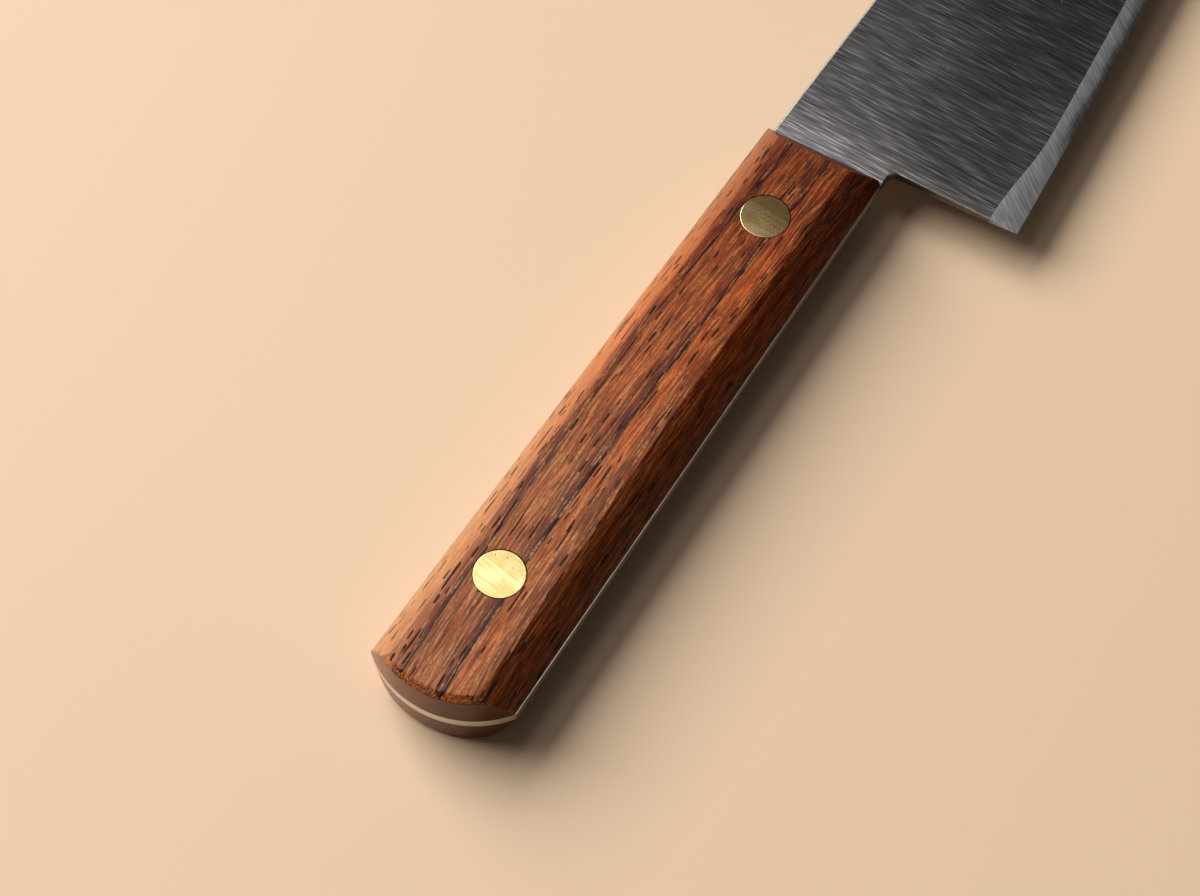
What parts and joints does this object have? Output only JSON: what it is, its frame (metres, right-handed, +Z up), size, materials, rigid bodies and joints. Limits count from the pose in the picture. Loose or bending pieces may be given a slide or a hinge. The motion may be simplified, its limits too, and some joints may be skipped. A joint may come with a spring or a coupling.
{
  "type": "gyuto knife",
  "caption": "Double-bevelled cook's knife with a full tang, riveted wooden scales and a square heel, lying on its side.",
  "frame": {"origin": "on the lower scale's outer flat, midway between the two rivets", "axes": "+X along the handle towards the blade's tip, +Y towards the spine, +Z up, out of the upper scale's outer flat; the cutting edge is towards -Y"},
  "size_m": [0.3003, 0.0443, 0.0146],
  "materials": {
    "steel": "dark, ground across the blade in fine parallel lines, with a lighter honed bevel",
    "wood": "oiled open-pored rosewood with the grain along the handle, matt to satin",
    "brass": "flush rivet heads, sanded with the wood"
  },
  "bodies": {
    "root": {"blade": "steel", "upper_scale": "wood", "lower_scale": "wood", "front_rivet_female": "brass", "rear_rivet_female": "brass", "front_rivet_male": "brass", "rear_rivet_male": "brass"}
  },
  "joints": []
}
